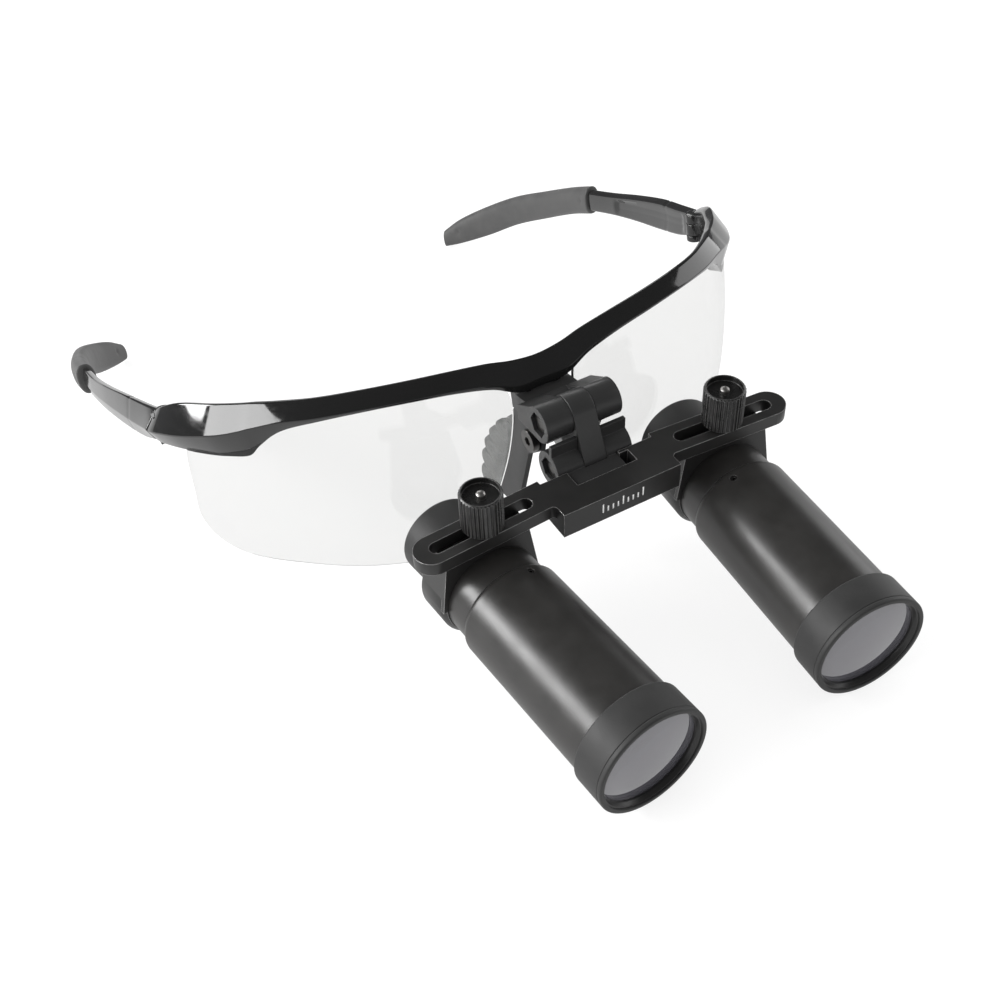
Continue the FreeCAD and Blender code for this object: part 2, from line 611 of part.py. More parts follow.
# Temple from the seam back, and its rubber sock
ARM = [(76.6, SEAM_Y + SEAM_GAP, 4.4, 13.2, 5.0), (77.3, 80.0, 2.0, 11.2, 4.4), (78.6, 92.0, -0.4, 8.8, 3.6),
       (80.2, 108.0, -3.4, 4.9, 3.2), (81.0, 122.0, -6.2, 1.2, 3.0), (81.2, 136.0, -9.0, -1.9, 2.9)]
SOCK = [(81.5, 136.3, -9.8, -0.9, 5.2), (81.2, 148.0, -13.4, -4.5, 5.2), (79.5, 164.0, -19.4, -10.0, 5.0),
        (76.4, 180.0, -25.6, -15.6, 4.9), (71.5, 194.0, -32.4, -22.0, 4.8), (65.5, 205.0, -37.0, -28.2, 4.6),
        (61.2, 211.0, -38.9, -33.2, 3.6)]
TANG = [(81.2, 134.0, -7.4, -3.6, 1.8), (80.9, 152.0, -12.6, -9.0, 1.8)]


def lug(low, high, reach_y):
    """Hinge lug round the temple's pin, joined to the body at a given depth."""
    x, y = TEMPLE_AXIS
    eye = cylinder(LUG_R, (x, y, low), (x, y, high))
    near, far = sorted((y, reach_y))
    return fused(eye, box((x, x + LUG_R), (near, far), (low, high)))


def pin_bore(radius):
    x, y = TEMPLE_AXIS
    return cylinder(radius, (x, y, -5), (x, y, 25))


def front_frame():
    """Half-rim brow in one piece with the lens grooves and the fixed hinge lugs."""
    x, y = TEMPLE_AXIS
    other_half = [(-station[0],) + station[1:] for station in reversed(BROW[1:])]
    frame = swept(other_half + BROW)
    low_lug = lug(5.2, LUG_LOW - 0.1, SEAM_Y - 2)
    high_lug = lug(LUG_HIGH + 0.1, 12.8, SEAM_Y - 2)
    room = cylinder(LUG_CLEAR, (x, y, LUG_LOW - 0.1), (x, y, LUG_HIGH + 0.1))
    groove = lens_slab(LENS_THICK / 2 + 0.12).common(lens_blank(0.15))
    frame = fused(frame, low_lug, high_lug, mirrored(low_lug), mirrored(high_lug))
    for tool in (room, groove, pin_bore(PIN_R + 0.01)):
        frame = frame.cut(tool).cut(mirrored(tool))
    for screw_x in (-BRIDGE_SCREW_X, BRIDGE_SCREW_X):
        frame = frame.cut(cylinder(1.02, (screw_x, BRIDGE_SCREW_Y, 9), (screw_x, BRIDGE_SCREW_Y, 13.6)))
    return frame


def temple():
    x, y = TEMPLE_AXIS
    arm = fused(swept(ARM), swept(TANG))
    for low, high in ((3.0, LUG_LOW), (LUG_HIGH, 15.0)):
        arm = arm.cut(cylinder(LUG_CLEAR, (x, y, low), (x, y, high)))
    arm = fused(arm, lug(LUG_LOW, LUG_HIGH, SEAM_Y + 3))
    inboard = box((x - 10, x - LUG_R), (y - 5, y + 6), (0, 20))
    return arm.cut(inboard).cut(pin_bore(PIN_R + 0.06))


def ear_sock():
    """Rubber sleeve on the temple's end, hollow where it grips the tang."""
    spare = 0.06
    start, end = [(x, y, low - spare, high + spare, thick + 2 * spare) for x, y, low, high, thick in TANG]
    stretch = 1.02
    deeper = tuple(a + (b - a) * stretch for a, b in zip(start, end))
    return swept(SOCK, 2.3).cut(swept([start, deeper]))


def temple_pin():
    x, y = TEMPLE_AXIS
    return cylinder(PIN_R, (x, y, 5.3), (x, y, 12.7))


PAD_SPLAY = 14.0            # nose pads spread outwards as they go down


def splayed(shape):
    """Leans an upright side plate outwards about the carrier bolt's height."""
    result = shape.copy()
    result.rotate(Vector(5.7, 0, CARRIER_Z), Y_AXIS, -PAD_SPLAY)
    return result


def carrier_plate(grow=0.0):
    """Side plate of the nose pad carrier, for the wearer's left side."""
    half = 0.6 + grow
    outline = [(16.0, 4.3), (16.0, -0.4), (20.9, -3.4), (22.6, -14.0), (25.0, -18.2), (31.8, -18.2 - grow),
               (32.4 + grow, -12.0), (31.0 + grow, 1.0), (29.0, 4.4 + grow)]
    points = [(5.7 - half, y, z) for y, z in outline]
    return splayed(extruded(points, (2 * half, 0, 0)))


def nose_pad_carrier():
    plate = carrier_plate()
    tie = box((-6.0, 6.0), (28.6, 30.4), (0.0, 3.4))
    carrier = fused(tie, plate, mirrored(plate))
    lug_room = box((-CARRIER_LUG_HALF - 0.1, CARRIER_LUG_HALF + 0.1), (15, 28), (-4, 7))
    bore = cylinder(CARRIER_BOLT_R + FIT, (-9, CARRIER_Y, CARRIER_Z), (9, CARRIER_Y, CARRIER_Z))
    return carrier.cut(lug_room).cut(bore)


def carrier_bolt():
    head = cylinder(2.7, (-8.6, CARRIER_Y, CARRIER_Z), (-7.1, CARRIER_Y, CARRIER_Z))
    shank = cylinder(CARRIER_BOLT_R, (-7.2, CARRIER_Y, CARRIER_Z), (9.0, CARRIER_Y, CARRIER_Z))
    socket = hexagon(2.0, (-9.0, CARRIER_Y, CARRIER_Z), -7.9)
    return fused(head, shank).cut(socket)


def carrier_nut():
    nut = hexagon(NUT_FLATS, (7.1, CARRIER_Y, CARRIER_Z), 9.0)
    return nut.cut(cylinder(CARRIER_BOLT_R + 0.01, (5, CARRIER_Y, CARRIER_Z), (10, CARRIER_Y, CARRIER_Z)))


def nose_pad():
    """Plain soft block over the rear edge of the carrier's plate."""
    outline = [(28.6, 2.6), (28.9, -6.0), (31.4, -16.0), (33.6, -21.0), (38.4, -21.6), (42.0, -18.6),
               (41.8, -12.0), (38.4, -5.0), (33.4, 1.6), (31.0, 3.2)]
    points = [(5.7 - 1.7, y, z) for y, z in outline]
    pad = splayed(extruded(points, (3.4, 0, 0)))
    tie_room = box((-6.1, 6.1), (28.0, 31.0), (-1.0, 4.5))
    return pad.cut(carrier_plate(0.06)).cut(tie_room)


# ---------------------------------------------------------------- output

def all_nodes():
    level = {
        "crossbar": crossbar(),
        "bar_screws": bar_screws(),
        "bar_bracket": bar_bracket(),
        "flip_link": flip_link(),
        "flip_bolt": hinge_bolt(FLIP_Y, FLIP_Z),
        "flip_nut": hinge_nut(FLIP_Y, FLIP_Z),
        "tilt_bolt": hinge_bolt(TILT_Y, TILT_Z),
        "tilt_nut": hinge_nut(TILT_Y, TILT_Z),
    }
    for side, sign in (("left", 1), ("right", -1)):
        for name, shape in telescope(sign).items():
            level[name + "_" + side] = shape
    nodes = {name: leaned(shape) for name, shape in level.items()}
    nodes["flip_bracket"] = flip_bracket()
    nodes["bracket_screws"] = bracket_screws()
    nodes["front_frame"] = front_frame()
    nodes["nose_pad_carrier"] = nose_pad_carrier()
    nodes["carrier_bolt"] = carrier_bolt()
    nodes["carrier_nut"] = carrier_nut()
    nodes["temple_pins"] = Part.makeCompound([temple_pin(), mirrored(temple_pin())])
    for name, shape in (("spectacle_lens", spectacle_lens()), ("temple", temple()), ("ear_sock", ear_sock()),
                        ("nose_pad", nose_pad())):
        nodes[name + "_left"] = shape
        nodes[name + "_right"] = mirrored(shape)
    return nodes


os.makedirs("parts", exist_ok=True)
for node, shape in all_nodes().items():
    shape.translate(STANCE * -1)
    shape.exportStep("parts/" + node + ".step")
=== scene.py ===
import json
import math

import bpy
from mathutils import Matrix, Vector


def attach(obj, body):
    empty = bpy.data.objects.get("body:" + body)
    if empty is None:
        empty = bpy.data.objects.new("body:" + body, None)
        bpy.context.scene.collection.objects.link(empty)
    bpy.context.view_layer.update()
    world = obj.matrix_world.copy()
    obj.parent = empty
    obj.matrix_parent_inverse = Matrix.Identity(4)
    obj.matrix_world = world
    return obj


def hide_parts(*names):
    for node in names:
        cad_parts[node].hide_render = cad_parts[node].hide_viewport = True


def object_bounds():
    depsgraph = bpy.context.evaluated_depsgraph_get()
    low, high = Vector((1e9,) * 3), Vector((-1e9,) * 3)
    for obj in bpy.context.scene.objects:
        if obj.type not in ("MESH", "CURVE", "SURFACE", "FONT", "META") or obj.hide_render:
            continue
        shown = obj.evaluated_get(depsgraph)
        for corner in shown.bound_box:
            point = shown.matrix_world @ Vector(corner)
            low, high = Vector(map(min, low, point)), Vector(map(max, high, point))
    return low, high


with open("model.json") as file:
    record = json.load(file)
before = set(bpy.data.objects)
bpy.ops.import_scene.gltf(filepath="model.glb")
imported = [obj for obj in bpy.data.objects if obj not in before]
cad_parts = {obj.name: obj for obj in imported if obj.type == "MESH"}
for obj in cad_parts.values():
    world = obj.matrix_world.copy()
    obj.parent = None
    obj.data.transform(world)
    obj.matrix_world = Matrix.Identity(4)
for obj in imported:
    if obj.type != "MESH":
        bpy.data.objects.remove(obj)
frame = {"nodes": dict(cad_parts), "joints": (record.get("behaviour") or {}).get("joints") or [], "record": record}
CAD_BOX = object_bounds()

MM = 0.001
# Faces of a box whose corners go round its bottom, then round its top
BOX_FACES = [(3, 2, 1, 0), (4, 5, 6, 7), (0, 1, 5, 4), (1, 2, 6, 5), (2, 3, 7, 6), (3, 0, 4, 7)]
SIDES = (("left", 1), ("right", -1))        # the wearer's left is +X


def record_entry(group, name):
    """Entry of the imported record's joints or mounts, by name."""
    entries = frame["joints"] if group == "joints" else frame["record"]["mounts"]
    return next(entry for entry in entries if entry["name"] == name)


# Left temple's hinge pin: y and z in the spectacle tables are measured from it, x from the middle
PIN = Vector(record_entry("joints", "left_temple_fold")["pos_m"]) / MM
PIN_OFFSET = Vector((0, PIN.y, PIN.z))


# ---------------------------------------------------------------- mesh tools

def new_piece(name, points, faces, smooth_angle=35):
    """Mesh object from millimetre points, shaded smooth but for edges sharper than an angle."""
    mesh = bpy.data.meshes.new(name)
    mesh.from_pydata([Vector(p) * MM for p in points], [], faces)
    mesh.validate()
    piece = bpy.data.objects.new(name, mesh)
    bpy.context.scene.collection.objects.link(piece)
    for polygon in mesh.polygons:
        polygon.use_smooth = True
    mark_sharp(mesh, smooth_angle)
    return piece


def mark_sharp(mesh, degrees):
    """Marks edges sharp where the faces on either side turn by more than an angle."""
    normals = {}
    for polygon in mesh.polygons:
        for key in polygon.edge_keys:
            normals.setdefault(key, []).append(polygon.normal.copy())
    limit = math.radians(degrees)
    for edge in mesh.edges:
        sides = normals.get(edge.key, [])
        if len(sides) == 2 and sides[0].angle(sides[1], 0) > limit:
            edge.use_edge_sharp = True


def finish_piece(piece, body, slot, material, *nodes):
    """Puts a piece on its body, gives it its finish and hides the CAD nodes it stands for."""
    piece.data.materials.append(material)
    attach(piece, body)
    if nodes:
        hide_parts(*nodes)
    return piece


def rounded(corners, steps=4):
    """Closed outline with soft corners. A corner is (across, up, radius)."""
    outline = []
    count = len(corners)
    for index, (a, b, radius) in enumerate(corners):
        corner = Vector((a, b))
        before = Vector(corners[index - 1][:2]) - corner
        after = Vector(corners[(index + 1) % count][:2]) - corner
        reach = min(radius, 0.48 * before.length, 0.48 * after.length)
        start = corner + before.normalized() * reach
        end = corner + after.normalized() * reach
        for step in range(steps + 1):
            t = step / steps
            outline.append(start * (1 - t) ** 2 + corner * 2 * t * (1 - t) + end * t ** 2)
    return outline


def cubic_weights(t, length):
    """Weights of the value and slope at the start of a stretch, then of those at its end."""
    return (2 * t ** 3 - 3 * t ** 2 + 1, (t ** 3 - 2 * t ** 2 + t) * length,
            3 * t ** 2 - 2 * t ** 3, (t ** 3 - t ** 2) * length)


def flowing(stations, spacing):
    """Smooth curve through tuples of numbers, one of its tuples at about every spacing along it.
    The first three numbers are the place in plan and the lower edge."""
    places = [Vector(station[:3]) for station in stations]
    run = [0.0]
    for here, there in zip(places, places[1:]):
        run.append(run[-1] + (there - here).length)
    last = len(stations) - 1
    slopes = []
    for i in range(len(stations)):
        low, high = max(i - 1, 0), min(i + 1, last)
        slopes.append([(b - a) / (run[high] - run[low]) for a, b in zip(stations[low], stations[high])])
    result = []
    for i in range(last):
        length = run[i + 1] - run[i]
        count = max(2, round(length / spacing))
        ends = list(zip(stations[i], slopes[i], stations[i + 1], slopes[i + 1]))
        for k in range(count + (i == last - 1)):
            weights = cubic_weights(k / count, length)
            result.append([sum(weight * value for weight, value in zip(weights, end)) for end in ends])
    return result


def rings_along(stations, spacing, section):
    """Rings of points in millimetres along stations, each drawn by section(values) as (inward, z)."""
    values = flowing(stations, spacing)
    rings = []
    for i, row in enumerate(values):
        before = values[max(i - 1, 0)]
        after = values[min(i + 1, len(values) - 1)]
        ahead = Vector((after[0] - before[0], after[1] - before[1])).normalized()
        inward = Vector((-ahead.y, ahead.x, 0))
        centre = Vector((row[0], row[1], 0))
        rings.append([centre + inward * u + Vector((0, 0, z)) + PIN_OFFSET for u, z in section(row)])
    return rings


def ring_middle(ring):
    return sum(ring, Vector()) / len(ring)


def scaled_ring(ring, factor, shift):
    middle = ring_middle(ring)
    return [middle + (point - middle) * factor + shift for point in ring]


def rounded_end(ring, neighbour, depth, steps=4):
    """Rings that close one end of a loft, shrinking over the given depth in millimetres."""
    middle = ring_middle(ring)
    out = (middle - ring_middle(neighbour)).normalized()
    size = min((point - middle).length for point in ring)
    shrink = min(depth / size, 0.97)
    rings = []
    for step in range(steps + 1):
        angle = math.radians(90 * step / steps)
        shift = out * (depth * (math.sin(angle) - 1))
        rings.append(scaled_ring(ring, 1 - shrink * (1 - math.cos(angle)), shift))
    return rings


def with_ends(rings, round_start, round_end):
    """Closes a row of rings with rounded ends of the given depths in millimetres."""
    head = rounded_end(rings[0], rings[1], round_start)
    tail = rounded_end(rings[-1], rings[-2], round_end)
    return head[::-1] + rings[1:-1] + tail


def bands(ring_count, count):
    """Faces between rings of equal count whose points are numbered ring after ring."""
    faces = []
    for r in range(ring_count - 1):
        for i in range(count):
            j = (i + 1) % count
            faces.append((r * count + i, r * count + j, (r + 1) * count + j, (r + 1) * count + i))
    return faces


def fan(hub, ring, count, order):
    """Faces from one point to a ring; order -1 turns them over."""
    return [(hub, ring * count + (i + 1) % count, ring * count + i)[::order] for i in range(count)]


def lofted(rings):
    """Points and faces of a row of rings, with a fan closing each end."""
    count = len(rings[0])
    points = [point for ring in rings for point in ring]
    faces = bands(len(rings), count)
    for ring, order in ((0, 1), (len(rings) - 1, -1)):
        faces += fan(len(points), ring, count, order)
        points.append(ring_middle(rings[ring]))
    return points, faces


def handed(points, faces, sign):
    """The mesh as drawn for the left side, or its mirror image for the right."""
    if sign > 0:
        return points, faces
    return [Vector((-p[0], p[1], p[2])) for p in points], [face[::-1] for face in faces]


def merged(*parts):
    """One list of points and faces from several."""
    points, faces = [], []
    for more_points, more_faces in parts:
        base = len(points)
        points += list(more_points)
        faces += [tuple(index + base for index in face) for face in more_faces]
    return points, faces


def turned(profile, placement, segments=128):
    """Closed surface of revolution. The profile is a closed outline of (radius, station)."""
    points, faces = [], []
    count = len(profile)
    for s in range(segments):
        angle = 2 * math.pi * s / segments
        for radius, station in profile:
            points.append(placement @ Vector((radius * math.cos(angle), radius * math.sin(angle), station)))
    for s in range(segments):
        t = (s + 1) % segments
        for i in range(count):
            j = (i + 1) % count
            faces.append((s * count + i, s * count + j, t * count + j, t * count + i))
    return points, faces


def turned_bar(outline, placement, segments=48):
    """Solid of revolution from an open outline that starts and ends on the axis."""
    points, faces = [], []
    inner = outline[1:-1]
    count = len(inner)
    points.append(placement @ Vector((0, 0, outline[0][1])))
    points.append(placement @ Vector((0, 0, outline[-1][1])))
    for s in range(segments):
        angle = 2 * math.pi * s / segments
        for radius, station in inner:
            points.append(placement @ Vector((radius * math.cos(angle), radius * math.sin(angle), station)))
    for s in range(segments):
        a = 2 + s * count
        b = 2 + ((s + 1) % segments) * count
        faces.append((0, b, a))
        faces.append((1, a + count - 1, b + count - 1))
        for i in range(count - 1):
            faces.append((a + i, b + i, b + i + 1, a + i + 1))
    return points, faces


# ---------------------------------------------------------------- materials

class Shader:
    """Small builder for a node material; sockets are passed straight on to other calls."""

    def __init__(self, name):
        self.material = bpy.data.materials.new(name)
        self.material.use_nodes = True
        self.tree = self.material.node_tree
        self.tree.nodes.clear()
        self.output = self.tree.nodes.new("ShaderNodeOutputMaterial")
        self.place = self.node("ShaderNodeTexCoord").outputs["Object"]

    def node(self, kind, settings=None, **inputs):
        made = self.tree.nodes.new(kind)
        for key, value in (settings or {}).items():
            setattr(made, key, value)
        for key, value in inputs.items():
            self.feed(made.inputs[key.replace("_", " ")], value)
        return made

    def feed(self, socket, value):
        if isinstance(value, bpy.types.NodeSocket):
            self.tree.links.new(value, socket)
        else:
            socket.default_value = value

    def noise(self, scale, detail=2.0, roughness=0.5, place=None):
        made = self.node("ShaderNodeTexNoise", Scale=scale, Detail=detail, Roughness=roughness,
                         Vector=place or self.place)
        return made.outputs["Fac"]

    def stretched(self, x, y, z):
        """Place scaled unevenly, so that a noise on it is drawn out."""
        made = self.node("ShaderNodeMapping", Vector=self.place, Scale=(x, y, z))
        return made.outputs["Vector"]

    def between(self, value, low, high, out_low=0.0, out_high=1.0):
        """Value taken from one range to another, held at its ends."""
        made = self.node("ShaderNodeMapRange")
        for index, item in enumerate((value, low, high, out_low, out_high)):
            self.feed(made.inputs[index], item)
        return made.outputs["Result"]

    def math(self, operation, a, b=0.0):
        made = self.node("ShaderNodeMath", {"operation": operation})
        self.feed(made.inputs[0], a)
        self.feed(made.inputs[1], b)
        return made.outputs["Value"]

    def blend(self, amount, low, high):
        """Colour between two colours."""
        made = self.node("ShaderNodeMix", {"data_type": "RGBA"})
        self.feed(made.inputs[0], amount)
        self.feed(made.inputs[6], low)
        self.feed(made.inputs[7], high)
        return made.outputs[2]

    def bump(self, height, strength, depth_mm, normal=None):
        made = self.node("ShaderNodeBump", Height=height, Strength=strength, Distance=depth_mm * MM)
        if normal is not None:
            self.feed(made.inputs["Normal"], normal)
        return made.outputs["Normal"]

    def edge(self, radius_mm):
        """How close to a sharp edge a point is, and the rounded normal there."""
        soft = self.node("ShaderNodeBevel", {"samples": 6}, Radius=radius_mm * MM).outputs["Normal"]
        true = self.node("ShaderNodeNewGeometry").outputs["Normal"]
        dot = self.node("ShaderNodeVectorMath", {"operation": "DOT_PRODUCT"})
        self.feed(dot.inputs[0], soft)
        self.feed(dot.inputs[1], true)
        return self.between(dot.outputs["Value"], 0.992, 0.90), soft

    def surface(self, **inputs):
        """Principled surface as the material's result."""
        made = self.node("ShaderNodeBsdfPrincipled")
        for key, value in inputs.items():
            self.feed(made.inputs[key.replace("_", " ")], value)
        self.feed(self.output.inputs["Surface"], made.outputs[0])
        return made

    def shadowless(self, shader, tint, share=0.9):
        """Lets light rays pass with a tint, so glass does not cast a solid shadow."""
        clear = self.node("ShaderNodeBsdfTransparent", Color=tint)
        rays = self.node("ShaderNodeLightPath")
        either = self.math("MAXIMUM", rays.outputs["Is Shadow Ray"], rays.outputs["Is Diffuse Ray"])
        mix = self.node("ShaderNodeMixShader")
        self.feed(mix.inputs[0], self.math("MULTIPLY", either, share))
        self.feed(mix.inputs[1], shader.outputs[0])
        self.feed(mix.inputs[2], clear.outputs[0])
        self.feed(self.output.inputs["Surface"], mix.outputs[0])


def grey(value, warm=0.0):
    """Grey as a colour with alpha; warm moves it towards yellow."""
    return (value * (1 + warm), value, value * (1 - warm), 1.0)


def gloss_moulding(name, tone, roughness):
    """Polished injection-moulded nylon: slight waviness, faint handling marks."""
    s = Shader(name)
    waves = s.noise(90, 1.0)
    marks = s.noise(900, 3.0, 0.6, s.stretched(1, 0.15, 1))
    rough = s.between(marks, 0.45, 0.8, roughness, roughness + 0.10)
    height = s.math("ADD", waves, s.math("MULTIPLY", marks, 0.02))
    s.surface(Base_Color=grey(tone), Roughness=rough, IOR=1.52, Coat_Weight=0.2, Coat_Roughness=0.04,
              Normal=s.bump(height, 0.12, 0.5))
    return s.material


def satin_anodised(name, tone, roughness, wear_and_highlight_amount=0.0, grain=7000, warm=0.02):
    """Bead-blasted aluminium, dyed black, with a pale line along the sharp edges: partly worn bare metal, partly a
    painted highlight of the light the edges catch.
    """
    s = Shader(name)
    near_edge, soft = s.edge(0.22)
    cloud = s.noise(160, 4.0, 0.6)
    fine = s.noise(grain, 2.0)
    # pale edge line: partly worn bare metal, partly a painted highlight standing in for the glint on the edges
    wear_and_highlight = s.math("MULTIPLY", near_edge, s.between(s.noise(420, 4.0), 0.30, 0.62, 0.25, 1.0))
    wear_and_highlight = s.math("MULTIPLY", wear_and_highlight, wear_and_highlight_amount)
    dark = s.blend(s.between(cloud, 0.3, 0.7), grey(tone * 0.85, warm), grey(tone * 1.15, warm))
    color = s.blend(wear_and_highlight, dark, grey(0.55, 0.01))
    rough = s.math("ADD", s.between(cloud, 0.3, 0.7, roughness - 0.03, roughness + 0.04),
                   s.math("MULTIPLY", fine, 0.05))
    s.surface(Base_Color=color, Metallic=s.math("MULTIPLY", wear_and_highlight, 0.8), Roughness=rough, IOR=1.55,
              Normal=s.bump(fine, 0.10, 0.02, soft))
    return s.material


def moulded_plastic(name, tone, roughness):
    """Satin black moulding with a fine spark-eroded texture and rounded edges."""
    s = Shader(name)
    near_edge, soft = s.edge(0.18)
    texture = s.noise(3600, 3.0, 0.6)
    smudge = s.noise(140, 3.0)
    color = s.blend(s.math("MULTIPLY", near_edge, 0.35), grey(tone), grey(tone * 4 + 0.02))
    rough = s.between(smudge, 0.35, 0.7, roughness - 0.06, roughness + 0.06)
    s.surface(Base_Color=color, Roughness=rough, Specular_IOR_Level=0.5,
              Normal=s.bump(texture, 0.16, 0.03, soft))
    return s.material


def rubber(name, tone, roughness, grain=2600):
    """Matt rubber: fine pits and a dusty bloom."""
    s = Shader(name)
    pits = s.noise(grain, 4.0, 0.65)
    bloom = s.noise(210, 4.0, 0.6)
    color = s.blend(s.between(bloom, 0.35, 0.72), grey(tone * 0.88), grey(tone * 1.15, 0.01))
    s.surface(Base_Color=color, Roughness=s.between(bloom, 0.3, 0.7, roughness - 0.05, roughness + 0.06),
              Specular_IOR_Level=0.42, Sheen_Weight=0.06, Sheen_Roughness=0.5,
              Normal=s.bump(pits, 0.22, 0.03))
    return s.material


def silicone(name):
    """Translucent grey pad rubber."""
    s = Shader(name)
    cloud = s.noise(260, 3.0)
    color = s.blend(cloud, (0.085, 0.088, 0.085, 1), (0.125, 0.128, 0.125, 1))
    made = s.surface(Base_Color=color, Roughness=0.42, Transmission_Weight=0.10, IOR=1.42,
                     Subsurface_Weight=0.15, Subsurface_Scale=1.2 * MM,
                     Normal=s.bump(s.noise(1800, 3.0), 0.10, 0.02))
    made.inputs["Subsurface Radius"].default_value = (1.0, 1.0, 1.0)
    return s.material


def clear_lens(name):
    """Hard-coated polycarbonate with a faint grey tint and the odd smear."""
    s = Shader(name)
    smear = s.noise(70, 3.0)
    made = s.surface(Base_Color=(0.77, 0.77, 0.765, 1), Roughness=s.between(smear, 0.4, 0.75, 0.0, 0.03),
                     Transmission_Weight=1.0, IOR=1.45)
    s.shadowless(made, (0.95, 0.95, 0.95, 1), 1.0)
    return s.material


def coated_glass(name, tint, roughness=0.02):
    """Optical glass behind a violet-grey coating."""
    s = Shader(name)
    made = s.surface(Base_Color=tint, Roughness=roughness, Transmission_Weight=0.55, IOR=1.62,
                     Coat_Weight=1.0, Coat_Roughness=0.02, Coat_IOR=1.9)
    s.shadowless(made, (0.5, 0.5, 0.52, 1), 0.6)
    return s.material


def steel(name, tone, roughness):
    """Turned steel with fine rings of tool marks."""
    s = Shader(name)
    near_edge, soft = s.edge(0.1)
    marks = s.noise(2400, 2.0, 0.5, s.stretched(1, 6, 1))
    color = s.blend(near_edge, grey(tone, 0.03), grey(min(1.0, tone * 1.5), 0.03))
    rough = s.between(marks, 0.3, 0.7, roughness - 0.05, roughness + 0.08)
    s.surface(Base_Color=color, Metallic=1.0, Roughness=rough, Normal=s.bump(marks, 0.15, 0.02, soft))
    return s.material


def printed(name):
    """White pad-printed ink, slightly uneven."""
    s = Shader(name)
    patch = s.noise(1400, 3.0)
    s.surface(Base_Color=s.blend(patch, (0.78, 0.78, 0.77, 1), (0.9, 0.9, 0.89, 1)), Roughness=0.5,
              Normal=s.bump(patch, 0.1, 0.01))
    return s.material


MATERIALS = {
    "frame_black": gloss_moulding("gloss_black_nylon", 0.010, 0.07),
    "clear_lens": clear_lens("clear_polycarbonate"),
    "pad_rubber": silicone("grey_silicone"),
    "sock_rubber": rubber("sock_rubber", 0.050, 0.50),
    "mechanism_black": moulded_plastic("satin_black_moulding", 0.020, 0.40),
    "steel": steel("steel", 0.45, 0.32),
    "screw_black": steel("black_steel", 0.10, 0.35),
    "bar_black": satin_anodised("anodised_bar", 0.012, 0.36, wear_and_highlight_amount=1.0),
    "knob_black": satin_anodised("anodised_knob", 0.008, 0.26, wear_and_highlight_amount=0.25),
    "stud_brass": steel("stud_metal", 0.36, 0.38),
    "tube_black": satin_anodised("anodised_tube", 0.017, 0.31, wear_and_highlight_amount=0.10, warm=0.05),
    "ring_black": satin_anodised("anodised_ring", 0.012, 0.30, wear_and_highlight_amount=0.10),
    "cap_rubber": rubber("cap_rubber", 0.018, 0.56),
    "cup_rubber": rubber("cup_rubber", 0.014, 0.56),
    "coated_glass": coated_glass("coated_glass", (0.16, 0.155, 0.18, 1)),
    "prism_glass": coated_glass("prism_glass", (0.75, 0.78, 0.78, 1)),
}


# ---------------------------------------------------------------- spectacle frame

# Half of the front frame, from the middle out: x, y, lower edge, upper edge, thickness, height of the
# outer ridge as a share, how far the face below the ridge falls back, and the upper edge's place as a
# share of the thickness from the middle, inwards positive
FRONT = [(0.0, -45.6, -2.4, 4.8, 3.6, 0.30, 0.5, 0.16), (6.0, -45.5, -2.2, 5.4, 3.6, 0.24, 0.5, 0.16),
         (12.0, -45.1, 0.8, 6.6, 3.7, 0.20, 0.4, 0.16), (20.0, -44.4, 2.8, 7.6, 3.8, 0.18, 0.4, 0.16),
         (30.0, -43.2, 4.3, 8.6, 4.0, 0.18, 0.4, 0.16), (40.0, -40.75, 4.9, 9.2, 4.1, 0.20, 0.5, 0.16),
         (49.0, -36.8, 4.3, 9.2, 4.4, 0.28, 0.7, 0.12), (55.7, -31.9, 2.4, 8.9, 5.2, 0.44, 1.1, 0.10),
         (59.9, -27.8, -1.6, 8.5, 6.0, 0.55, 1.7, 0.10), (61.9, -25.6, -4.3, 8.1, 6.3, 0.59, 2.0, 0.10),
         (65.6, -21.5, -5.0, 7.5, 6.6, 0.53, 2.1, 0.10), (68.0, -18.3, -5.3, 7.0, 6.7, 0.50, 2.1, 0.10),
         (72.5, -10.7, -5.7, 5.5, 6.7, 0.43, 2.0, 0.10), (75.3, -3.7, -6.5, 2.5, 6.4, 0.44, 1.8, 0.12),
         (76.1, -0.4, -7.0, 0.7, 6.0, 0.46, 1.7, 0.14)]
TEMPLE = [(76.1, 0.2, -7.1, 0.4, 6.0, 0.46, 1.6, 0.14), (77.1, 9.4, -10.5, -1.5, 4.8, 0.44, 1.1, 0.02),
          (78.6, 21.4, -13.4, -3.9, 3.8, 0.42, 0.8, -0.10),
          (80.2, 37.4, -16.3, -8.0, 3.3, 0.42, 0.6, -0.18),
          (81.0, 51.4, -18.9, -11.7, 3.1, 0.42, 0.5, -0.20),
          (81.2, 65.4, -21.8, -14.8, 3.0, 0.42, 0.5, -0.20)]
# Ear sock: x, y, lower edge, upper edge, thickness
SOCK = [(81.5, 65.7, -22.8, -13.9, 5.2), (81.2, 77.4, -26.4, -17.5, 5.2), (79.5, 93.4, -32.4, -23.0, 5.0),
        (76.4, 109.4, -38.6, -28.6, 4.9), (71.5, 123.4, -45.4, -35.0, 4.8),
        (65.5, 134.4, -50.0, -41.2, 4.6), (61.2, 140.4, -51.9, -46.2, 3.6)]
SOCK_POINTS = 40
SOCK_SQUARENESS = 0.82      # exponent of the oval: 1 is an ellipse, less is squarer
RECESS = (5.0, 49.0)        # shallow channel along the temple's inner face, from the pin
RECESS_FADE = 1.2
RECESS_DEPTH = 0.7
PARTING_LINE = 17.0         # behind the pin, round the temple
PARTING_SINK = 0.04
LUG_R, LUG_LOW, LUG_HIGH = 2.2, -6.0, -2.8      # the temple's knuckle
